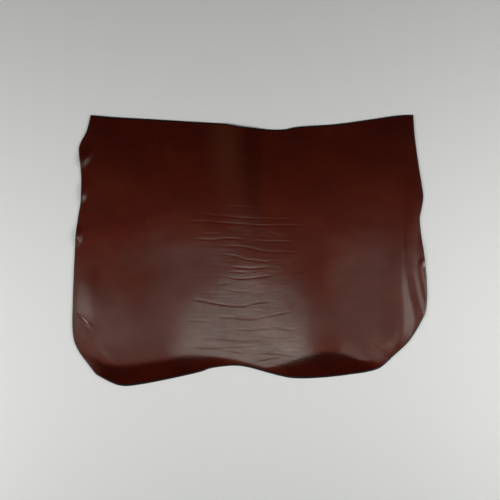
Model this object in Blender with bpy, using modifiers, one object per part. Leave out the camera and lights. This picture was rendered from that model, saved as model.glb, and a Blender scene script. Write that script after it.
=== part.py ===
"""A leather hide: the double shoulder of a large animal, in one piece.

It lies with its smooth grain side up. X runs along its width, Y from the neck's
lower edge to the straight cut at its top, and Z is up from the floor it lies on.
Most of the flesh side is flat on the floor, at z = 0.
"""
import math
from collections import namedtuple

import bpy
from mathutils import Vector

MM = 0.001

# Sizes in millimetres
THICKNESS = 3.0
CREASE_HALF_WIDTH = 5.0
CREASE_HOLD = 215.0
CREASE_END = 330.0
CREASE_TAPER = 45.0

Point = namedtuple("Point", "x y")
Side = namedtuple("Side", "y x")
Crest = namedtuple("Crest", "x y height")
Ridge = namedtuple("Ridge", "y x height inner outer")
Bump = namedtuple("Bump", "x y length width turn height")
Crease = namedtuple("Crease", "depth line")

# The outline, one table for each side. Top and bottom run from left to right.
TOP = (
    Point(-583, 495), Point(-520, 489), Point(-414, 483), Point(-227, 472),
    Point(-88, 463), Point(-37, 454), Point(37, 446), Point(80, 442),
    Point(128, 443), Point(172, 452), Point(315, 462), Point(454, 481),
    Point(545, 493), Point(598, 496),
)
BOTTOM = (
    Point(-563, -453), Point(-509, -482), Point(-468, -495), Point(-417, -492),
    Point(-318, -474), Point(-183, -444), Point(-146, -431), Point(-80, -422),
    Point(-37, -422), Point(7, -430), Point(57, -444), Point(110, -458),
    Point(161, -467), Point(242, -466), Point(359, -454), Point(469, -432),
    Point(523, -388),
)
# Left and right run from the bottom to the top.
LEFT = (
    Side(-453, -563), Side(-405, -600), Side(-374, -623), Side(-332, -643),
    Side(-277, -650), Side(-204, -649), Side(-112, -646), Side(2, -641),
    Side(49, -638), Side(116, -630), Side(177, -620), Side(247, -617),
    Side(316, -621), Side(367, -626), Side(386, -624), Side(438, -597),
    Side(495, -583),
)
RIGHT = (
    Side(-388, 523), Side(-332, 582), Side(-247, 634), Side(-203, 647),
    Side(-127, 648), Side(-28, 640), Side(60, 627), Side(118, 622),
    Side(144, 627), Side(192, 635), Side(232, 631), Side(280, 623),
    Side(353, 612), Side(433, 602), Side(496, 598),
)

# The whole lower edge, round both lower corners.
LOWER_EDGE = (
    (Point(-643, -332), Point(-623, -374), Point(-600, -405)) + BOTTOM
    + (Point(582, -332), Point(634, -247))
)

# The lower margin rises to a crest and bends down to the floor at its cut edge.
LEFT_CURL = (
    Crest(-632, -362, 0), Crest(-605, -372, 1.5), Crest(-580, -379, 4), Crest(-555, -388, 6.5),
    Crest(-535, -401, 8), Crest(-510, -409, 9.5), Crest(-425, -406, 13), Crest(-322, -392, 14.5),
    Crest(-260, -381, 13), Crest(-198, -376, 10.5), Crest(-140, -380, 7.5), Crest(-90, -389, 4.6),
    Crest(-45, -398, 2.6), Crest(0, -410, 1.2), Crest(45, -424, 0.4), Crest(90, -436, 0),
)
RIGHT_CURL = (
    Crest(-60, -410, 0), Crest(-10, -416, 0.5), Crest(30, -422, 1.2), Crest(60, -426, 2.3),
    Crest(100, -411, 5), Crest(150, -390, 8.5),
    Crest(200, -373, 11.5), Crest(250, -364, 13.5), Crest(290, -360, 14.5),
    Crest(330, -362, 14.5), Crest(370, -374, 12.5), Crest(410, -392, 9.5), Crest(450, -402, 6),
    Crest(480, -408, 2.6), Crest(505, -401, 0.6), Crest(540, -376, 0),
)
CURL_RISE = 370.0
CURL_BEND = 1.9

# Long folds that run up the right margin, with the reach of each flank.
OUTER_FOLD = (
    Ridge(300, 590, 0, 50, 36), Ridge(200, 594, 1.6, 44, 38), Ridge(120, 590, 2.6, 36, 38),
    Ridge(60, 585, 3.4, 30, 40), Ridge(16, 584, 3.6, 28, 42), Ridge(-20, 586, 3.4, 24, 42),
    Ridge(-61, 590, 3.2, 22, 34), Ridge(-100, 599, 3, 22, 28), Ridge(-149, 608, 2.8, 24, 26),
    Ridge(-190, 620, 2.6, 26, 22), Ridge(-240, 632, 1.6, 26, 18), Ridge(-290, 632, 0, 25, 16),
)
INNER_FOLD = (
    Ridge(150, 538, 0, 60, 30), Ridge(80, 539, 0.6, 60, 30), Ridge(20, 541, 1.3, 60, 30),
    Ridge(-30, 542, 2.1, 62, 30), Ridge(-79, 544, 2.9, 66, 32), Ridge(-120, 545, 3.2, 70, 38),
    Ridge(-165, 545, 3.6, 74, 46),
    Ridge(-211, 549, 4.4, 80, 52), Ridge(-260, 552, 4.8, 84, 56), Ridge(-300, 549, 4.4, 84, 50),
    Ridge(-340, 536, 3.2, 80, 44), Ridge(-392, 510, 0, 70, 36),
)
EDGE_FOLD = (
    Ridge(60, 632, 0, 26, 14), Ridge(20, 638, 2.4, 30, 16), Ridge(-14, 641, 3.2, 32, 16),
    Ridge(-30, 640, 3.4, 26, 16), Ridge(-46, 631, 3.6, 18, 16), Ridge(-66, 627, 2.6, 15, 18),
    Ridge(-105, 631, 2.2, 15, 18), Ridge(-152, 641, 1.8, 15, 16), Ridge(-205, 646, 0, 14, 14),
)

# Rounded swellings: the spine, the lifted bits of the left margin and three corners.
BUMPS = (
    Bump(-30, 330, 320, 120, 90, 6.0),
    Bump(-608, 340, 62, 30, 52, 9.0),
    Bump(-615, 212, 46, 26, 76, 7.4),
    Bump(-635, 54, 44, 25, 80, 7.6),
    Bump(-574, -195, 62, 140, 0, 3.2),
    Bump(-520, -400, 40, 18, 110, 2.0),
    Bump(-545, 425, 100, 70, 70, 4.0),
    Bump(450, -396, 80, 40, 8, 2.0),
    Bump(545, 440, 110, 80, 110, 3.0),
)

# Growth creases of the neck, across the spine, from the bottom to the top.
CREASES = (
    Crease(1.2, (Point(-198, -330), Point(-110, -328), Point(-60, -333), Point(-10, -335),
                 Point(25, -332), Point(60, -336), Point(90, -328))),
    Crease(1.0, (Point(-65, -282), Point(-40, -288), Point(0, -290), Point(30, -288),
                 Point(60, -284), Point(100, -284), Point(160, -292))),
    Crease(1.2, (Point(-240, -255), Point(-180, -257), Point(-110, -250), Point(-30, -249),
                 Point(0, -251), Point(30, -248), Point(60, -241), Point(155, -221))),
    Crease(1.5, (Point(-210, -178), Point(-170, -184), Point(-140, -190), Point(-100, -198),
                 Point(-60, -203), Point(-20, -202), Point(0, -197), Point(20, -191),
                 Point(80, -185))),
    Crease(1.2, (Point(-80, -98), Point(-40, -102), Point(20, -98), Point(80, -92))),
    Crease(1.0, (Point(-65, -60), Point(0, -64), Point(40, -63), Point(75, -58))),
    Crease(1.1, (Point(-110, -13), Point(-60, -18), Point(-30, -27), Point(0, -34),
                 Point(50, -39), Point(80, -41))),
    Crease(1.2, (Point(-97, 18), Point(-35, 17), Point(0, 12), Point(20, 7), Point(40, 0),
                 Point(80, -4), Point(190, -9))),
    Crease(1.3, (Point(-210, 44), Point(-130, 41), Point(-60, 46), Point(-18, 43),
                 Point(12, 39), Point(50, 36), Point(170, 32))),
    Crease(1.3, (Point(-240, 108), Point(-155, 108), Point(-90, 103), Point(0, 97),
                 Point(50, 93), Point(120, 92), Point(200, 88))),
    Crease(1.1, (Point(-190, 136), Point(-110, 129), Point(-30, 121), Point(50, 118),
                 Point(165, 117))),
)

# Rows and columns of the sheet: closer where the leather bends.
LOWER_ROWS = (0.0, 10.0, 22.0, 36.0, 52.0, 68.0)
MIDDLE_ROWS = (-312.0, -157.0, -129.0, 70.0, 162.0)
UPPER_ROWS = (211.0, 262.0, 315.0, 350.0, 385.0, 418.0)
COLUMNS = (
    -650, -638, -624, -609, -592, -572, -546, -512, -475, -438, -400, -360, -320, -280,
    -240, -205, -175, -145, -115, -85, -55, -25, 5, 35, 65, 95, 125, 155, 190, 230,
    270, 310, 350, 390, 430, 468, 502, 528, 548, 562, 574, 585, 595, 606, 618, 630, 649,
)


def smooth_value(table, at):
    """The second column of a table where its first column is `at`, on a smooth curve."""
    last = len(table) - 1
    at = min(max(at, table[0][0]), table[last][0])
    index = 0
    while index < last - 1 and at > table[index + 1][0]:
        index += 1
    start, end = table[index], table[index + 1]
    span = end[0] - start[0]
    slope = (end[1] - start[1]) / span
    before = slope
    after = slope
    if index > 0:
        earlier = table[index - 1]
        before = (end[1] - earlier[1]) / (end[0] - earlier[0])
    if index + 2 <= last:
        later = table[index + 2]
        after = (later[1] - start[1]) / (later[0] - start[0])
    t = (at - start[0]) / span
    value = start[1] * (1 - 3 * t * t + 2 * t ** 3)
    value += end[1] * (3 * t * t - 2 * t ** 3)
    value += span * before * (t - 2 * t * t + t ** 3)
    value += span * after * (t ** 3 - t * t)
    return value


def column_value(table, at, name):
    """One named column of a table, against the table's first column."""
    pairs = sorted((row[0], getattr(row, name)) for row in table)
    return smooth_value(pairs, at)


def ease(t):
    """A smooth step from 0 to 1."""
    t = min(max(t, 0.0), 1.0)
    return t * t * (3 - 2 * t)


def swell(t):
    """A rounded hump, 1 at t = 0 and 0 from t = 1 on."""
    return max(0.0, 1 - t * t) ** 2


def outline_point(u, v):
    """A point of the flat sheet, with u from left to right and v from bottom to top."""
    bottom_left = Vector((BOTTOM[0].x, BOTTOM[0].y))
    bottom_right = Vector((BOTTOM[-1].x, BOTTOM[-1].y))
    top_left = Vector((TOP[0].x, TOP[0].y))
    top_right = Vector((TOP[-1].x, TOP[-1].y))
    low = bottom_left.lerp(bottom_right, u)
    low.y = smooth_value(BOTTOM, low.x)
    high = top_left.lerp(top_right, u)
    high.y = smooth_value(TOP, high.x)
    left = bottom_left.lerp(top_left, v)
    left.x = smooth_value(LEFT, left.y)
    right = bottom_right.lerp(top_right, v)
    right.x = smooth_value(RIGHT, right.y)
    corners = bottom_left.lerp(bottom_right, u).lerp(top_left.lerp(top_right, u), v)
    return low.lerp(high, v) + left.lerp(right, u) - corners


def curl_height(table, x, y):
    """The lift of a margin between the floor behind it and its cut edge."""
    if not table[0].x < x < table[-1].x:
        return 0.0
    crest_y = column_value(table, x, "y")
    height = max(0.0, column_value(table, x, "height"))
    if y >= crest_y:
        return height * (1 - ease((y - crest_y) / CURL_RISE))
    reach = max(crest_y - smooth_value(LOWER_EDGE, x), 1.0)
    return height * (1 - min((crest_y - y) / reach, 1.0) ** CURL_BEND)


def fold_height(table, x, y):
    """The lift of a long fold that runs up a side margin."""
    if not table[-1].y < y < table[0].y:
        return 0.0
    height = max(0.0, column_value(table, y, "height"))
    across = x - column_value(table, y, "x")
    reach = column_value(table, y, "outer" if across > 0 else "inner")
    return height * swell(across / reach)


def bump_height(bump, x, y):
    """The lift of one rounded swelling."""
    turn = math.radians(bump.turn)
    along = (x - bump.x) * math.cos(turn) + (y - bump.y) * math.sin(turn)
    across = (y - bump.y) * math.cos(turn) - (x - bump.x) * math.sin(turn)
    return bump.height * swell(math.hypot(along / bump.length, across / bump.width))


def floor_height(x, y):
    """How high the flesh side is above the floor."""
    height = curl_height(LEFT_CURL, x, y) + curl_height(RIGHT_CURL, x, y)
    height += max(fold_height(OUTER_FOLD, x, y), fold_height(INNER_FOLD, x, y),
                  fold_height(EDGE_FOLD, x, y))
    for bump in BUMPS:
        height += bump_height(bump, x, y)
    return height


def crease_depth(x, y):
    """How deep the neck's creases go into the grain side."""
    depth = 0.0
    for crease in CREASES:
        line = crease.line
        if line[0].x < x < line[-1].x:
            taper = min(x - line[0].x, line[-1].x - x) / CREASE_TAPER
            across = abs(y - smooth_value(line, x)) / CREASE_HALF_WIDTH
            depth = max(depth, crease.depth * ease(taper) * (1 - min(across, 1.0)))
    return depth


def sheet_rows():
    """Every row of the sheet, as its height at the spine and the line that it follows."""
    foot = smooth_value(BOTTOM, 0.0)
    rows = [(foot + step, None) for step in LOWER_ROWS]
    for level in MIDDLE_ROWS:
        rows.append((level, (Point(-1, level), Point(1, level))))
    for crease in CREASES:
        level = smooth_value(crease.line, 0.0)
        for shift in (-CREASE_HALF_WIDTH, 0.0, CREASE_HALF_WIDTH):
            line = tuple(Point(point.x, point.y + shift) for point in crease.line)
            rows.append((level + shift, line))
    rows += [(level, None) for level in UPPER_ROWS]
    rows.append((smooth_value(TOP, 0.0), None))
    return sorted(rows, key=lambda row: row[0])


def flat_sheet():
    """A grid over the outline, with its rows drawn onto the creases near the spine."""
    rows = sheet_rows()
    foot, head = rows[0][0], rows[-1][0]
    bpy.ops.mesh.primitive_grid_add(
        x_subdivisions=len(COLUMNS) - 1, y_subdivisions=len(rows) - 1, size=1)
    sheet = bpy.context.object
    wide = COLUMNS[-1] - COLUMNS[0]
    for vertex in sheet.data.vertices:
        column = round((vertex.co.x + 0.5) * (len(COLUMNS) - 1))
        row = round((vertex.co.y + 0.5) * (len(rows) - 1))
        level, line = rows[row]
        u = (COLUMNS[column] - COLUMNS[0]) / wide
        place = outline_point(u, (level - foot) / (head - foot))
        if line is not None:
            hold = 1 - ease((abs(place.x) - CREASE_HOLD) / (CREASE_END - CREASE_HOLD))
            place.y += hold * (smooth_value(line, place.x) - place.y)
        vertex.co = Vector((place.x, place.y, floor_height(place.x, place.y))) * MM
    return sheet


def thicken(sheet):
    """The leather's thickness, upward from the flesh side."""
    solidify = sheet.modifiers.new("leather thickness", "SOLIDIFY")
    solidify.thickness = THICKNESS * MM
    solidify.offset = 1.0
    solidify.use_even_offset = True
    bpy.ops.object.modifier_apply(modifier=solidify.name)


def press_creases(sheet):
    """The neck's creases, pressed into the grain side only."""
    for vertex in sheet.data.vertices:
        x = vertex.co.x / MM
        y = vertex.co.y / MM
        z = vertex.co.z / MM
        if z > floor_height(x, y) + THICKNESS / 2:
            vertex.co.z -= crease_depth(x, y) * MM


def centre_on_floor(sheet):
    """The middle of the outline over the origin, and the lowest point on the floor."""
    points = [vertex.co.copy() for vertex in sheet.data.vertices]
    low = Vector(min(point[axis] for point in points) for axis in range(3))
    high = Vector(max(point[axis] for point in points) for axis in range(3))
    shift = Vector(((low.x + high.x) / 2, (low.y + high.y) / 2, low.z))
    for vertex in sheet.data.vertices:
        vertex.co -= shift


def leather():
    """Dark red-brown leather with a soft polish."""
    material = bpy.data.materials.new("hide leather")
    material.use_nodes = True
    shader = material.node_tree.nodes["Principled BSDF"]
    shader.inputs["Base Color"].default_value = (0.035, 0.008, 0.005, 1.0)
    shader.inputs["Roughness"].default_value = 0.45
    shader.inputs["Metallic"].default_value = 0.0
    return material


def clear_scene():
    for item in list(bpy.data.objects):
        bpy.data.objects.remove(item, do_unlink=True)


def build():
    clear_scene()
    group = bpy.data.collections.new("leather hide")
    bpy.context.scene.collection.children.link(group)
    hide = flat_sheet()
    thicken(hide)
    press_creases(hide)
    centre_on_floor(hide)
    hide.name = "hide"
    hide.data.name = "hide"
    hide.data.materials.append(leather())
    for collection in list(hide.users_collection):
        collection.objects.unlink(hide)
    group.objects.link(hide)


build()
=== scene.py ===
"""The looks of the leather hide: its grain side, flesh side and cut edge, and the studio.

Sizes in the tables are millimetres. X runs along the hide's width, Y from the neck's lower
edge to the straight cut at its top, and Z is up from the floor.
"""
import math
from collections import namedtuple

import bpy
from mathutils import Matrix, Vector


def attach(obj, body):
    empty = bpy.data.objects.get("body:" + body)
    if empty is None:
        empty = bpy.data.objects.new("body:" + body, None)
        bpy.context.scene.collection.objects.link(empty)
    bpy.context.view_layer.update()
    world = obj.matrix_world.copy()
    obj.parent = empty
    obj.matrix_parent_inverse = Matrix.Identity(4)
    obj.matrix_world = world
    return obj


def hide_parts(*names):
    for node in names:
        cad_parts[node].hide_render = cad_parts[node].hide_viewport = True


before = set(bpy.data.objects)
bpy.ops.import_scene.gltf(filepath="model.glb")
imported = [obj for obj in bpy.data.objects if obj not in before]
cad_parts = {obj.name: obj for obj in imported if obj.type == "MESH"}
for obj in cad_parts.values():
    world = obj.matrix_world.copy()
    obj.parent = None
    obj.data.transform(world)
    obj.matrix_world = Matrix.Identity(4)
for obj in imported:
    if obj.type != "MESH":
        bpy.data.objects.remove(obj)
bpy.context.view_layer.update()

MM = 0.001
THICKNESS = 3.0
# Faces steeper than this belong to the cut edge.
LEVEL_ENOUGH = 0.45

Point = namedtuple("Point", "x y")
Side = namedtuple("Side", "y x")
Crest = namedtuple("Crest", "x y height")
Ridge = namedtuple("Ridge", "y x height inner outer")
Bump = namedtuple("Bump", "x y length width turn height")
Crease = namedtuple("Crease", "depth width line")

# The outline, one table for each side. Top and bottom run from left to right.
TOP = (
    Point(-583, 495), Point(-520, 489), Point(-414, 483), Point(-227, 472),
    Point(-88, 463), Point(-37, 454), Point(37, 446), Point(80, 442),
    Point(128, 443), Point(172, 452), Point(315, 462), Point(454, 481),
    Point(545, 493), Point(598, 496),
)
BOTTOM = (
    Point(-563, -453), Point(-509, -482), Point(-468, -495), Point(-417, -492),
    Point(-318, -474), Point(-183, -444), Point(-146, -431), Point(-80, -422),
    Point(-37, -422), Point(7, -430), Point(57, -444), Point(110, -458),
    Point(161, -467), Point(242, -466), Point(359, -454), Point(469, -432),
    Point(523, -388),
)
# Left and right run from the bottom to the top.
LEFT = (
    Side(-453, -563), Side(-405, -600), Side(-374, -623), Side(-332, -643),
    Side(-277, -650), Side(-204, -649), Side(-112, -646), Side(2, -641),
    Side(49, -638), Side(116, -630), Side(177, -620), Side(247, -617),
    Side(316, -621), Side(367, -626), Side(386, -624), Side(438, -597),
    Side(495, -583),
)
RIGHT = (
    Side(-388, 523), Side(-332, 582), Side(-247, 634), Side(-203, 647),
    Side(-127, 648), Side(-28, 640), Side(60, 627), Side(118, 622),
    Side(144, 627), Side(192, 635), Side(232, 631), Side(280, 623),
    Side(353, 612), Side(433, 602), Side(496, 598),
)

# The whole lower edge, round both lower corners.
LOWER_EDGE = (
    (Point(-643, -332), Point(-623, -374), Point(-600, -405)) + BOTTOM
    + (Point(582, -332), Point(634, -247))
)

# The lower margin rises to a crest and bends down to the floor at its cut edge.
LEFT_CURL = (
    Crest(-632, -362, 0), Crest(-605, -372, 1.5), Crest(-580, -379, 4), Crest(-555, -388, 6.5),
    Crest(-535, -401, 8), Crest(-510, -409, 9.5), Crest(-425, -406, 13), Crest(-322, -392, 14.5),
    Crest(-260, -381, 13), Crest(-198, -376, 10.5), Crest(-140, -380, 7.5), Crest(-90, -389, 4.6),
    Crest(-45, -398, 2.6), Crest(0, -410, 1.2), Crest(45, -424, 0.4), Crest(90, -436, 0),
)
RIGHT_CURL = (
    Crest(-60, -410, 0), Crest(-10, -416, 0.5), Crest(30, -422, 1.2), Crest(60, -426, 2.3),
    Crest(100, -411, 5), Crest(150, -390, 8.5),
    Crest(200, -373, 11.5), Crest(250, -364, 13.5), Crest(290, -360, 14.5),
    Crest(330, -362, 14.5), Crest(370, -374, 12.5), Crest(410, -392, 9.5), Crest(450, -402, 6),
    Crest(480, -408, 2.6), Crest(505, -401, 0.6), Crest(540, -376, 0),
)
CURL_RISE = 370.0
CURL_BEND = 1.9
# Painted shade: the grain darkens from just above each crest, most where the curl is high.
SHADE_START = 2.0
SHADE_REACH = 24.0
SHADED_LIFT = 8.0
# The last bit before the cut edge is rubbed dark, with painted shade of the edge on top.
BURNISH_AND_SHADE_REACH = 11.0

# Long folds that run up the right margin, with the reach of each flank.
OUTER_FOLD = (
    Ridge(300, 590, 0, 50, 36), Ridge(200, 594, 1.6, 44, 38), Ridge(120, 590, 2.6, 36, 38),
    Ridge(60, 585, 3.4, 30, 40), Ridge(16, 584, 3.6, 28, 42), Ridge(-20, 586, 3.4, 24, 42),
    Ridge(-61, 590, 3.2, 22, 34), Ridge(-100, 599, 3, 22, 28), Ridge(-149, 608, 2.8, 24, 26),
    Ridge(-190, 620, 2.6, 26, 22), Ridge(-240, 632, 1.6, 26, 18), Ridge(-290, 632, 0, 25, 16),
)
INNER_FOLD = (
    Ridge(150, 538, 0, 60, 30), Ridge(80, 539, 0.6, 60, 30), Ridge(20, 541, 1.3, 60, 30),
    Ridge(-30, 542, 2.1, 62, 30), Ridge(-79, 544, 2.9, 66, 32), Ridge(-120, 545, 3.2, 70, 38),
    Ridge(-165, 545, 3.6, 74, 46),
    Ridge(-211, 549, 4.4, 80, 52), Ridge(-260, 552, 4.8, 84, 56), Ridge(-300, 549, 4.4, 84, 50),
    Ridge(-340, 536, 3.2, 80, 44), Ridge(-392, 510, 0, 70, 36),
)
EDGE_FOLD = (
    Ridge(60, 632, 0, 26, 14), Ridge(20, 638, 2.4, 30, 16), Ridge(-14, 641, 3.2, 32, 16),
    Ridge(-30, 640, 3.4, 26, 16), Ridge(-46, 631, 3.6, 18, 16), Ridge(-66, 627, 2.6, 15, 18),
    Ridge(-105, 631, 2.2, 15, 18), Ridge(-152, 641, 1.8, 15, 16), Ridge(-205, 646, 0, 14, 14),
)
FOLDS_BEGIN = 465.0

# Rounded swellings: the spine, the lifted bits of the left margin and three corners.
BUMPS = (
    Bump(-30, 330, 320, 120, 90, 6.0),
    Bump(-608, 340, 62, 30, 52, 9.0),
    Bump(-615, 212, 46, 26, 76, 7.4),
    Bump(-635, 54, 44, 25, 80, 7.6),
    Bump(-574, -195, 62, 140, 0, 3.2),
    Bump(-520, -400, 40, 18, 110, 2.0),
    Bump(-545, 425, 100, 70, 70, 4.0),
    Bump(450, -396, 80, 40, 8, 2.0),
    Bump(545, 440, 110, 80, 110, 3.0),
)

# Growth creases: one at the left margin, then the neck's, from the bottom to the top.
CREASES = (
    Crease(4.5, 9, (Point(-644, -230), Point(-622, -243), Point(-604, -260), Point(-588, -277),
                    Point(-570, -294))),
    Crease(1.6, 4.4, (Point(12, -414), Point(60, -404), Point(90, -398), Point(126, -391))),
    Crease(1.2, 4.4, (Point(40, -424), Point(80, -413), Point(118, -402))),
    Crease(1.2, 4.4, (Point(20, -377), Point(60, -381), Point(100, -383), Point(130, -386),
                    Point(180, -394))),
    Crease(1.4, 4.4, (Point(-205, -362), Point(-150, -361), Point(-110, -364), Point(-80, -370),
                    Point(-50, -377), Point(-10, -380))),
    Crease(1, 3.8, (Point(-125, -356), Point(-60, -358), Point(10, -356))),
    Crease(1.4, 4.4, (Point(40, -340), Point(60, -337), Point(90, -329), Point(120, -321),
                    Point(150, -314), Point(178, -308))),
    Crease(1.7, 4.8, (Point(-198, -328), Point(-150, -326), Point(-110, -328),
                      Point(-60, -333), Point(-10, -335), Point(25, -332), Point(70, -326))),
    Crease(1, 3.8, (Point(10, -317), Point(40, -315), Point(90, -314))),
    Crease(1.4, 4.4, (Point(-200, -286), Point(-185, -290), Point(-150, -302),
                    Point(-120, -310), Point(-85, -319))),
    Crease(1.5, 4.4, (Point(-68, -282), Point(-40, -288), Point(0, -290), Point(30, -288),
                    Point(60, -284), Point(100, -284), Point(130, -287), Point(165, -292))),
    Crease(0.8, 3.8, (Point(-245, -279), Point(-210, -281), Point(-185, -284))),
    Crease(1.4, 4.4, (Point(-245, -254), Point(-180, -257), Point(-125, -262))),
    Crease(1.9, 4.8, (Point(-115, -240), Point(-60, -245), Point(-30, -249), Point(0, -251),
                      Point(30, -248), Point(60, -241), Point(100, -233),
                      Point(158, -220))),
    Crease(0.9, 4.4, (Point(-8, -204), Point(10, -213), Point(30, -220), Point(72, -230))),
    Crease(2, 5, (Point(-212, -177), Point(-170, -184), Point(-140, -190),
                    Point(-100, -198), Point(-60, -203), Point(-20, -202), Point(0, -197),
                    Point(20, -191), Point(50, -188), Point(85, -184))),
    Crease(0.7, 3.8, (Point(-42, -163), Point(-20, -169), Point(-6, -173))),
    Crease(1.2, 4.4, (Point(-98, -140), Point(-60, -147), Point(-20, -150), Point(8, -145))),
    Crease(0.9, 4.4, (Point(-128, -124), Point(-100, -121), Point(-60, -120))),
    Crease(1.8, 4.8, (Point(-84, -97), Point(-40, -103), Point(20, -99), Point(86, -90))),
    Crease(1.2, 4.4, (Point(-78, -76), Point(-40, -79), Point(8, -83))),
    Crease(1.6, 4.8, (Point(-72, -59), Point(0, -65), Point(40, -63), Point(75, -57))),
    Crease(0.6, 4.4, (Point(-105, -29), Point(-88, -38), Point(-68, -42), Point(-50, -42))),
    Crease(0.8, 4.8, (Point(-118, -12), Point(-60, -19), Point(-30, -28), Point(0, -35),
                      Point(50, -40), Point(88, -44))),
    Crease(0.9, 4.8, (Point(-102, 16), Point(-35, 15), Point(0, 10), Point(20, 5),
                      Point(40, -1), Point(80, -4), Point(190, -8))),
    Crease(0.9, 4.8, (Point(6, 38), Point(50, 34), Point(120, 32), Point(175, 30))),
    Crease(1, 5, (Point(-215, 43), Point(-150, 41), Point(-130, 39), Point(-100, 45),
                    Point(-60, 44), Point(-15, 41))),
    Crease(0.7, 3.8, (Point(18, 56), Point(35, 50), Point(54, 43))),
    Crease(0.6, 3.8, (Point(18, 64), Point(45, 54), Point(84, 46))),
    Crease(0.7, 4.4, (Point(42, 78), Point(80, 62), Point(100, 55), Point(144, 46))),
    Crease(0.6, 3.8, (Point(-185, 58), Point(-125, 62), Point(-85, 66))),
    Crease(0.7, 4.4, (Point(-10, 108), Point(10, 106), Point(22, 103))),
    Crease(1, 5, (Point(-245, 106), Point(-155, 106), Point(-90, 101), Point(0, 95),
                    Point(50, 91), Point(120, 91), Point(165, 91), Point(202, 85))),
    Crease(0.9, 4.8, (Point(-200, 137), Point(-155, 131), Point(-110, 127), Point(-60, 123),
                      Point(-30, 119), Point(50, 116), Point(170, 115))),
    Crease(0.7, 4.4, (Point(-100, 161), Point(-30, 161), Point(0, 157), Point(40, 157),
                    Point(84, 154))),
    Crease(0.4, 3.8, (Point(-220, 165), Point(-175, 165), Point(-130, 163))),
)
CREASE_TAPER = 38.0
CREASE_SHARE = 0.36
CREASE_RANGE = 60.0
NECK_RIGHT = 210.0
NECK_TOP = 170.0

# Steps of the sheet's rows above its lower edge and of its columns from the left.
Span = namedtuple("Span", "end step")
ROW_SPANS = (Span(30, 4.5), Span(600, 2.5), Span(868, 12.5), Span(874, 5.0))
COLUMN_SPANS = (Span(60, 4.8), Span(420, 10.5), Span(880, 6.6), Span(1170, 10.5),
                Span(1299, 4.6))


def smooth_value(table, at):
    """The second column of a table where its first column is `at`, on a smooth curve."""
    last = len(table) - 1
    at = min(max(at, table[0][0]), table[last][0])
    index = 0
    while index < last - 1 and at > table[index + 1][0]:
        index += 1
    start, end = table[index], table[index + 1]
    span = end[0] - start[0]
    before = after = (end[1] - start[1]) / span
    if index > 0:
        earlier = table[index - 1]
        before = (end[1] - earlier[1]) / (end[0] - earlier[0])
    if index + 2 <= last:
        later = table[index + 2]
        after = (later[1] - start[1]) / (later[0] - start[0])
    t = (at - start[0]) / span
    value = start[1] * (1 - 3 * t * t + 2 * t ** 3)
    value += end[1] * (3 * t * t - 2 * t ** 3)
    value += span * before * (t - 2 * t * t + t ** 3)
    value += span * after * (t ** 3 - t * t)
    return value


def columns_of(table):
    """Each named column of a table, against the table's first column, lowest first."""
    rows = sorted(table)
    names = table[0]._fields[1:]
    return {name: tuple((row[0], getattr(row, name)) for row in rows) for name in names}


CURLS = (columns_of(LEFT_CURL), columns_of(RIGHT_CURL))
FOLDS = (columns_of(OUTER_FOLD), columns_of(INNER_FOLD), columns_of(EDGE_FOLD))


def ease(t):
    """A smooth step from 0 to 1."""
    t = min(max(t, 0.0), 1.0)
    return t * t * (3 - 2 * t)


def swell(t):
    """A rounded hump, 1 at t = 0 and 0 from t = 1 on."""
    return max(0.0, 1 - t * t) ** 2


def outline_point(u, v):
    """A point of the flat sheet, with u from left to right and v from bottom to top."""
    bottom_left = Vector((BOTTOM[0].x, BOTTOM[0].y))
    bottom_right = Vector((BOTTOM[-1].x, BOTTOM[-1].y))
    top_left = Vector((TOP[0].x, TOP[0].y))
    top_right = Vector((TOP[-1].x, TOP[-1].y))
    low = bottom_left.lerp(bottom_right, u)
    low.y = smooth_value(BOTTOM, low.x)
    high = top_left.lerp(top_right, u)
    high.y = smooth_value(TOP, high.x)
    left = bottom_left.lerp(top_left, v)
    left.x = smooth_value(LEFT, left.y)
    right = bottom_right.lerp(top_right, v)
    right.x = smooth_value(RIGHT, right.y)
    corners = bottom_left.lerp(bottom_right, u).lerp(top_left.lerp(top_right, u), v)
    return low.lerp(high, v) + left.lerp(right, u) - corners


def curl_height(curl, x, y):
    """The lift of a margin between the floor behind it and its cut edge."""
    crests = curl["y"]
    if not crests[0][0] < x < crests[-1][0]:
        return 0.0
    crest_y = smooth_value(crests, x)
    if y > crest_y + CURL_RISE:
        return 0.0
    height = max(0.0, smooth_value(curl["height"], x))
    if y >= crest_y:
        return height * (1 - ease((y - crest_y) / CURL_RISE))
    reach = max(crest_y - smooth_value(LOWER_EDGE, x), 1.0)
    return height * (1 - min((crest_y - y) / reach, 1.0) ** CURL_BEND)


def fold_height(fold, x, y):
    """The lift of a long fold that runs up a side margin."""
    line = fold["x"]
    if not line[0][0] < y < line[-1][0]:
        return 0.0
    height = max(0.0, smooth_value(fold["height"], y))
    across = x - smooth_value(line, y)
    reach = smooth_value(fold["outer" if across > 0 else "inner"], y)
    return height * swell(across / reach)


def bump_height(bump, x, y):
    """The lift of one rounded swelling."""
    if max(abs(x - bump.x), abs(y - bump.y)) > max(bump.length, bump.width):
        return 0.0
    turn = math.radians(bump.turn)
    along = (x - bump.x) * math.cos(turn) + (y - bump.y) * math.sin(turn)
    across = (y - bump.y) * math.cos(turn) - (x - bump.x) * math.sin(turn)
    return bump.height * swell(math.hypot(along / bump.length, across / bump.width))


def floor_height(x, y):
    """How high the flesh side is above the floor."""
    height = sum(curl_height(curl, x, y) for curl in CURLS)
    if x > FOLDS_BEGIN:
        height += max(fold_height(fold, x, y) for fold in FOLDS)
    for bump in BUMPS:
        height += bump_height(bump, x, y)
    return height


def curl_shade(x, y):
    """How much painted shade darkens the grain below the crest of each curl."""
    shade = 0.0
    for curl in CURLS:
        crests = curl["y"]
        if crests[0][0] < x < crests[-1][0]:
            below = (smooth_value(crests, x) + SHADE_START - y) / SHADE_REACH
            lift = min(max(smooth_value(curl["height"], x), 0.0) / SHADED_LIFT, 1.0)
            shade = max(shade, lift * ease(below))
    return shade


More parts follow.
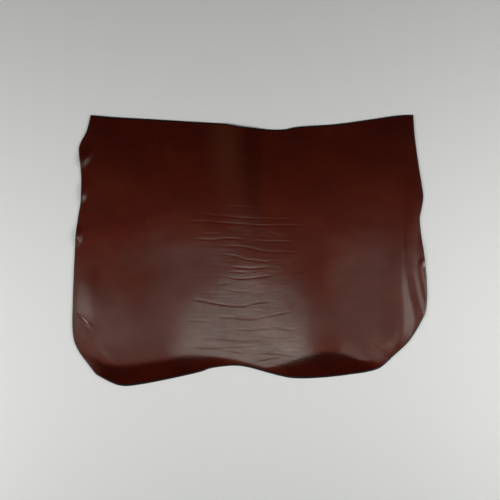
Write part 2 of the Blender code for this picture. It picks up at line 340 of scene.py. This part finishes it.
def burnish_and_shade(place):
    """How dark the lower edge is over its last few millimetres: rubbed dark, with painted shade
    on top.
    """
    above = place.y - smooth_value(LOWER_EDGE, place.x)
    return 1 - ease(above / BURNISH_AND_SHADE_REACH)


def crease_depth(x, y):
    """How deep the neck's creases go into the grain side."""
    depth = 0.0
    for crease in CREASES:
        line = crease.line
        if line[0].x < x < line[-1].x and abs(y - line[0].y) < CREASE_RANGE:
            across = (y - smooth_value(line, x)) / crease.width
            if abs(across) < 1:
                taper = min(x - line[0].x, line[-1].x - x) / CREASE_TAPER
                depth = max(depth, CREASE_SHARE * crease.depth * ease(taper) * swell(across))
    return depth


def stepped(spans):
    """Places from 0 to the last span's end, at each span's own step."""
    places = [0.0]
    for span in spans:
        start = places[-1]
        count = max(1, round((span.end - start) / span.step))
        places += [start + (span.end - start) * (n + 1) / count for n in range(count)]
    return places


def hide_sheet():
    """The hide as one sheet over its outline, on its folds, with its real thickness."""
    rows, columns = stepped(ROW_SPANS), stepped(COLUMN_SPANS)
    bpy.ops.object.select_all(action="DESELECT")
    bpy.ops.mesh.primitive_grid_add(
        x_subdivisions=len(columns) - 1, y_subdivisions=len(rows) - 1, size=1)
    sheet = bpy.context.object
    sheet.name = "leather_hide"
    painted_curl_shade = sheet.data.attributes.new("painted_curl_shade", "FLOAT", "POINT")
    rim_burnish_and_shade = sheet.data.attributes.new("rim_burnish_and_shade", "FLOAT", "POINT")
    for vertex in sheet.data.vertices:
        u = columns[round((vertex.co.x + 0.5) * (len(columns) - 1))] / columns[-1]
        v = rows[round((vertex.co.y + 0.5) * (len(rows) - 1))] / rows[-1]
        place = outline_point(u, v)
        vertex.co = Vector((place.x, place.y, floor_height(place.x, place.y))) * MM
        # Painted shade on the curls, kept at each point.
        painted_curl_shade.data[vertex.index].value = curl_shade(place.x, place.y)
        # The edge row and the lower edge: burnished dark, with painted shade of the edge on top.
        rim_burnish_and_shade.data[vertex.index].value = max(float(u in (0, 1) or v in (0, 1)), burnish_and_shade(place))
    thickness = sheet.modifiers.new("leather thickness", "SOLIDIFY")
    thickness.thickness = THICKNESS * MM
    thickness.offset = 1.0
    thickness.use_even_offset = False
    thickness.use_rim = True
    thickness.material_offset_rim = 1
    bpy.ops.object.modifier_apply(modifier=thickness.name)
    return sheet


def press_creases(sheet):
    """The neck's creases, pressed into the grain side only."""
    for vertex in sheet.data.vertices:
        x, y, z = vertex.co / MM
        in_neck = x < NECK_RIGHT and y < NECK_TOP
        if in_neck and z > floor_height(x, y) + THICKNESS / 2:
            vertex.co.z -= crease_depth(x, y) * MM


def centre_on_floor(sheet):
    """The middle of the outline over the origin, as the solid has it."""
    points = [vertex.co for vertex in sheet.data.vertices]
    low = Vector(min(point[axis] for point in points) for axis in range(3))
    high = Vector(max(point[axis] for point in points) for axis in range(3))
    shift = Vector(((low.x + high.x) / 2, (low.y + high.y) / 2, low.z))
    for vertex in sheet.data.vertices:
        vertex.co -= shift


def finish_faces(sheet):
    """Grain on top, flesh below and the cut edge around, with a little round on it."""
    for material in (grain_side(), cut_edge(), flesh_side()):
        sheet.data.materials.append(material)
    for face in sheet.data.polygons:
        face.material_index = 0 if face.normal.z > LEVEL_ENOUGH else 1
        if face.normal.z < -LEVEL_ENOUGH:
            face.material_index = 2
        face.use_smooth = True
    edge = sheet.modifiers.new("worn edge", "BEVEL")
    edge.width = 0.6 * MM
    edge.segments = 2
    edge.limit_method = "ANGLE"
    edge.angle_limit = math.radians(60)
    edge.material = 1
    bpy.ops.object.modifier_apply(modifier=edge.name)
    bpy.ops.object.shade_smooth_by_angle(angle=math.radians(50))


class Nodes:
    """A small hand for a material's nodes."""

    def __init__(self, name):
        self.material = bpy.data.materials.new(name)
        self.material.use_nodes = True
        self.tree = self.material.node_tree
        self.shader = self.tree.nodes["Principled BSDF"]

    def add(self, kind, settings=None, **inputs):
        node = self.tree.nodes.new(kind)
        for key, value in (settings or {}).items():
            setattr(node, key, value)
        for key, value in inputs.items():
            self.feed(node, key.replace("_", " "), value)
        return node

    def feed(self, node, key, value):
        socket = node.inputs[int(key) if key.isdigit() else key]
        if isinstance(value, bpy.types.NodeSocket):
            self.tree.links.new(value, socket)
        else:
            socket.default_value = value

    def place(self, scale=(1, 1, 1), turn=0.0, shift=(0, 0, 0)):
        """The hide's own coordinates, stretched and turned."""
        source = self.add("ShaderNodeTexCoord")
        mapping = self.add("ShaderNodeMapping", {"vector_type": "TEXTURE"})
        self.feed(mapping, "Vector", source.outputs["Object"])
        mapping.inputs["Scale"].default_value = [1 / factor for factor in scale]
        mapping.inputs["Rotation"].default_value = (0, 0, math.radians(turn))
        mapping.inputs["Location"].default_value = shift
        return mapping.outputs["Vector"]

    def noise(self, vector, scale, detail=4.0, roughness=0.55):
        node = self.add("ShaderNodeTexNoise", Vector=vector, Scale=scale, Detail=detail,
                        Roughness=roughness)
        return node.outputs["Fac"]

    def ramp(self, value, stops):
        node = self.add("ShaderNodeValToRGB", Fac=value)
        ramp = node.color_ramp
        while len(ramp.elements) < len(stops):
            ramp.elements.new(0.5)
        for element, (position, color) in zip(ramp.elements, stops):
            element.position = position
            element.color = (*color, 1.0)
        return node.outputs["Color"]

    def math(self, operation, first, second=0.0, clamp=False):
        node = self.add("ShaderNodeMath", {"operation": operation, "use_clamp": clamp})
        self.feed(node, "0", first)
        self.feed(node, "1", second)
        return node.outputs["Value"]

    def mix(self, factor, first, second, blend="MIX"):
        node = self.add("ShaderNodeMix", {"data_type": "RGBA", "blend_type": blend})
        self.feed(node, "0", factor)
        self.feed(node, "6", first)
        self.feed(node, "7", second)
        return node.outputs[2]

    def span(self, value, low, high, start=0.0, end=1.0):
        node = self.add("ShaderNodeMapRange", {"interpolation_type": "SMOOTHSTEP"},
                        Value=value)
        for key, number in (("From Min", low), ("From Max", high), ("To Min", start),
                            ("To Max", end)):
            node.inputs[key].default_value = number
        return node.outputs["Result"]

    def bump(self, height, distance, strength=1.0, normal=None):
        node = self.add("ShaderNodeBump", Height=height, Distance=distance,
                        Strength=strength)
        if normal is not None:
            self.feed(node, "Normal", normal)
        return node.outputs["Normal"]

    def stored(self, name):
        """A value that the mesh keeps at its points."""
        return self.add("ShaderNodeAttribute", {"attribute_name": name}).outputs["Fac"]

    def axis(self, name):
        split = self.add("ShaderNodeSeparateXYZ", Vector=self.place())
        return split.outputs[name]


def grain_side():
    """Polished oxblood grain: mottled dye with painted shade and light, edges partly burnished
    and partly painted shade, neck wrinkles and fine pores.
    """
    n = Nodes("polished grain side")
    y = n.axis("Y")
    x = n.axis("X")
    clouds = n.noise(n.place((1.0, 1.6, 1.0)), 4.5, 6.0, 0.6)
    specks = n.noise(n.place(), 60.0, 4.0, 0.6)
    dye_and_painted_light = n.ramp(clouds, ((0.28, (0.056, 0.0050, 0.0018)), (0.52, (0.072, 0.0084, 0.0034)),
                          (0.74, (0.090, 0.0145, 0.0068))))
    dye_and_painted_light = n.mix(n.span(specks, 0.35, 0.75, 0.0, 0.35), dye_and_painted_light, (0.052, 0.0056, 0.0022, 1.0))
    # Painted shade: the grain darkens towards the top, standing in for less light reaching it
    # there.
    dye_and_painted_light = n.mix(n.span(y, 0.02, 0.46), dye_and_painted_light, (0.52, 0.42, 0.36, 1.0), "MULTIPLY")
    # Painted shade: a dark band down the shaded flank of the spine's ridge.
    painted_spine_shade = n.math("MULTIPLY", n.span(x, -0.045, 0.005), n.span(x, 0.065, 0.025))
    painted_spine_shade = n.math("MULTIPLY", painted_spine_shade, n.span(y, 0.0, 0.2, 0.0, 0.4))
    dye_and_painted_light = n.mix(painted_spine_shade, dye_and_painted_light, (0.018, 0.0012, 0.0004, 1.0))
    # Painted light: a lighter band down the lit flank left of the spine.
    painted_flank_light = n.math("MULTIPLY", n.span(x, -0.18, -0.09), n.span(x, -0.005, -0.08))
    painted_flank_light = n.math("MULTIPLY", painted_flank_light, n.span(y, 0.12, 0.35, 0.0, 0.8))
    dye_and_painted_light = n.mix(painted_flank_light, dye_and_painted_light, (0.054, 0.0115, 0.0052, 1.0))
    # Painted shade: the curled lower margins darkened below their crests.
    painted_curl_darkness = n.math("MULTIPLY", n.stored("painted_curl_shade"),
                    n.span(clouds, 0.35, 0.65, 0.55, 0.82))
    dye_and_painted_light = n.mix(painted_curl_darkness, dye_and_painted_light, (0.013, 0.0007, 0.0003, 1.0))
    # The outline and lower edge: burnished dark, with painted shade of the edge on top.
    rim_burnish_and_shade = n.span(n.stored("rim_burnish_and_shade"), 0.05, 0.45)
    dye_and_painted_light = n.mix(rim_burnish_and_shade, dye_and_painted_light, (0.006, 0.0006, 0.0004, 1.0))
    n.feed(n.shader, "Base Color", dye_and_painted_light)
    rubbed = n.noise(n.place((1.0, 3.0, 1.0)), 34.0, 5.0, 0.7)
    shine = n.math("MULTIPLY", n.span(n.math("ABSOLUTE", x), 0.32, 0.15),
                   n.math("MULTIPLY", n.span(y, -0.02, -0.18), n.span(y, -0.41, -0.37)))
    polish = n.math("ADD", n.span(clouds, 0.3, 0.7, 0.24, 0.21),
                    n.math("MULTIPLY", shine, n.span(rubbed, 0.3, 0.7, -0.06, 0.05)))
    polish = n.math("SUBTRACT", polish, n.math("MULTIPLY", n.stored("painted_curl_shade"), 0.06))
    n.feed(n.shader, "Roughness", n.math("MAXIMUM", polish, n.math("MULTIPLY", rim_burnish_and_shade, 0.42)))
    n.shader.inputs["IOR"].default_value = 1.5
    neck = n.math("MULTIPLY", n.span(n.math("ABSOLUTE", x), 0.34, 0.05),
                  n.math("MULTIPLY", n.span(y, -0.46, -0.30), n.span(y, 0.26, 0.06)))
    wrinkles = n.noise(n.place((1.0, 9.0, 1.0)), 9.0, 5.0, 0.62)
    wrinkles = n.math("MULTIPLY", wrinkles, n.math("MULTIPLY", neck, n.span(y, -0.12, -0.26,
                                                                           1.0, 1.8)))
    corner = n.math("MULTIPLY", n.span(x, 0.30, 0.44), n.span(y, -0.22, -0.33))
    fan = n.math("MULTIPLY", n.noise(n.place((1.0, 9.0, 1.0), -39.0), 12.0, 2.0, 0.5), corner)
    pores = n.add("ShaderNodeTexVoronoi", {"feature": "SMOOTH_F1"}, Vector=n.place(),
                  Scale=620.0)
    pebbles = n.noise(n.place(), 240.0, 3.0, 0.5)
    waves = n.noise(n.place(), 5.0, 2.0, 0.4)
    normal = n.bump(waves, 0.004)
    normal = n.bump(wrinkles, 0.0004, 1.0, normal)
    normal = n.bump(fan, 0.0006, 1.0, normal)
    normal = n.bump(pebbles, 0.00012, 0.6, normal)
    normal = n.bump(pores.outputs["Distance"], 0.00008, 0.5, normal)
    n.feed(n.shader, "Normal", normal)
    return n.material


def flesh_side():
    """Matt buffed flesh side: short brown fibres."""
    n = Nodes("buffed flesh side")
    fibres = n.noise(n.place((1.0, 2.2, 1.0), 20.0), 180.0, 8.0, 0.7)
    patches = n.noise(n.place(), 7.0, 5.0, 0.6)
    colour = n.ramp(patches, ((0.3, (0.13, 0.058, 0.034)), (0.7, (0.21, 0.105, 0.064))))
    colour = n.mix(n.span(fibres, 0.3, 0.7, 0.0, 0.5), colour, (0.09, 0.038, 0.022, 1.0))
    n.feed(n.shader, "Base Color", colour)
    n.shader.inputs["Roughness"].default_value = 0.92
    n.shader.inputs["Sheen Weight"].default_value = 0.25
    n.shader.inputs["Sheen Roughness"].default_value = 0.6
    n.feed(n.shader, "Normal", n.bump(fibres, 0.0008, 0.8))
    return n.material


def cut_edge():
    """The cut edge, stained nearly black and rubbed smooth in places."""
    n = Nodes("stained cut edge")
    layers = n.noise(n.place((1.0, 1.0, 9.0)), 90.0, 4.0, 0.6)
    rubbed = n.noise(n.place(), 24.0, 3.0, 0.5)
    colour = n.ramp(layers, ((0.3, (0.010, 0.0022, 0.0015)), (0.7, (0.026, 0.007, 0.0045))))
    n.feed(n.shader, "Base Color", colour)
    n.feed(n.shader, "Roughness", n.span(rubbed, 0.35, 0.65, 0.62, 0.42))
    n.feed(n.shader, "Normal", n.bump(layers, 0.0004, 0.6))
    return n.material


def make_hide():
    sheet = hide_sheet()
    press_creases(sheet)
    centre_on_floor(sheet)
    finish_faces(sheet)
    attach(sheet, "root")
    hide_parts("hide")
    return sheet


def make_floor():
    """A plain pale studio floor."""
    bpy.ops.object.select_all(action="DESELECT")
    bpy.ops.mesh.primitive_plane_add(size=40.0, location=(0, 0, -0.0004))
    floor = bpy.context.object
    floor.name = "studio_floor"
    n = Nodes("pale studio floor")
    n.shader.inputs["Base Color"].default_value = (0.74, 0.735, 0.73, 1.0)
    n.shader.inputs["Roughness"].default_value = 0.55
    n.shader.inputs["Specular IOR Level"].default_value = 0.2
    floor.data.materials.append(n.material)


def area_light(name, place, target, size, power, colour=(1.0, 1.0, 1.0)):
    lamp = bpy.data.lights.new(name, "AREA")
    lamp.shape = "RECTANGLE"
    lamp.size, lamp.size_y = size
    lamp.energy = power
    lamp.color = colour
    item = bpy.data.objects.new(name, lamp)
    bpy.context.scene.collection.objects.link(item)
    item.location = place
    aim = Vector(target) - Vector(place)
    item.rotation_euler = aim.to_track_quat("-Z", "Y").to_euler()
    return item


# Panels over the lower half of the hide, in metres, which shine in its polish.
PANEL_HEIGHT = 1.3
PANEL_COLOUR = (0.93, 1.0, 0.90)
PANELS = (
    ("left_low_panel", -0.95, -0.33, -0.54, -0.36, 0.18),
    ("left_corner_panel", -0.75, -0.60, -0.56, -0.43, 0.26),
    ("left_high_panel", -0.90, -0.58, -0.36, -0.18, 0.26),
    ("left_inner_panel", -0.58, -0.28, -0.36, -0.10, 0.17),
    ("left_shoulder_panel", -0.44, -0.28, -0.10, 0.00, 0.07),
    ("left_outer_panel", -1.14, -0.94, -0.34, -0.19, 0.58),
    ("right_low_panel", 0.46, 0.98, -0.51, -0.36, 0.11),
    ("right_corner_panel", 0.54, 0.69, -0.57, -0.46, 0.42),
    ("right_high_panel", 0.18, 0.98, -0.36, -0.11, 0.37),
    ("right_margin_panel", 0.38, 0.90, -0.11, 0.03, 0.20),
    ("right_outer_panel", 1.00, 1.22, -0.54, -0.06, 1.30),
    ("neck_foot_panel", -0.02, 0.13, -0.60, -0.49, 0.36),
    ("neck_low_panel", -0.28, 0.12, -0.49, -0.38, 0.80),
    ("neck_high_panel", -0.27, 0.12, -0.33, -0.12, 0.80),
)


def make_lights():
    """Two large softboxes at the sides, and the panels over the lower half."""
    area_light("left_softbox", (-2.6, -0.7, 1.7), (0, -0.1, 0), (1.4, 1.4), 58.0)
    area_light("right_softbox", (2.6, -0.5, 1.7), (0, -0.1, 0), (1.4, 1.4), 57.0)
    for name, left, right, bottom, top, power in PANELS:
        place = ((left + right) / 2, (bottom + top) / 2, PANEL_HEIGHT)
        area_light(name, place, (place[0], place[1], 0), (right - left, top - bottom), power,
                   PANEL_COLOUR)


def make_room():
    """A pale room with a dark ceiling, so that only the softboxes shine on the leather."""
    world = bpy.data.worlds.new("studio room")
    bpy.context.scene.world = world
    world.use_nodes = True
    tree = world.node_tree
    tree.nodes.clear()
    place = tree.nodes.new("ShaderNodeTexCoord")
    split = tree.nodes.new("ShaderNodeSeparateXYZ")
    fade = tree.nodes.new("ShaderNodeMapRange")
    fade.interpolation_type = "SMOOTHSTEP"
    fade.inputs["From Min"].default_value = 0.05
    fade.inputs["From Max"].default_value = 0.42
    fade.inputs["To Min"].default_value = 0.75
    fade.inputs["To Max"].default_value = 0.0
    light = tree.nodes.new("ShaderNodeBackground")
    light.inputs["Color"].default_value = (1.0, 1.0, 1.0, 1.0)
    output = tree.nodes.new("ShaderNodeOutputWorld")
    tree.links.new(place.outputs["Generated"], split.inputs[0])
    tree.links.new(split.outputs["Z"], fade.inputs["Value"])
    tree.links.new(fade.outputs["Result"], light.inputs["Strength"])
    tree.links.new(light.outputs[0], output.inputs["Surface"])


def make_camera():
    """Square on to the hide's face, with the photo's frame around it."""
    lens, frame_width, sensor = 85.0, 1.830, 36.0
    camera = bpy.data.cameras.new("square_on")
    camera.lens = lens
    camera.sensor_width = sensor
    item = bpy.data.objects.new("square_on", camera)
    bpy.context.scene.collection.objects.link(item)
    item.location = (0.001, 0.002, frame_width * lens / sensor + 0.003)
    bpy.context.scene.camera = item


make_hide()
make_floor()
make_lights()
make_room()
make_camera()
bpy.context.scene.view_settings.view_transform = "Standard"
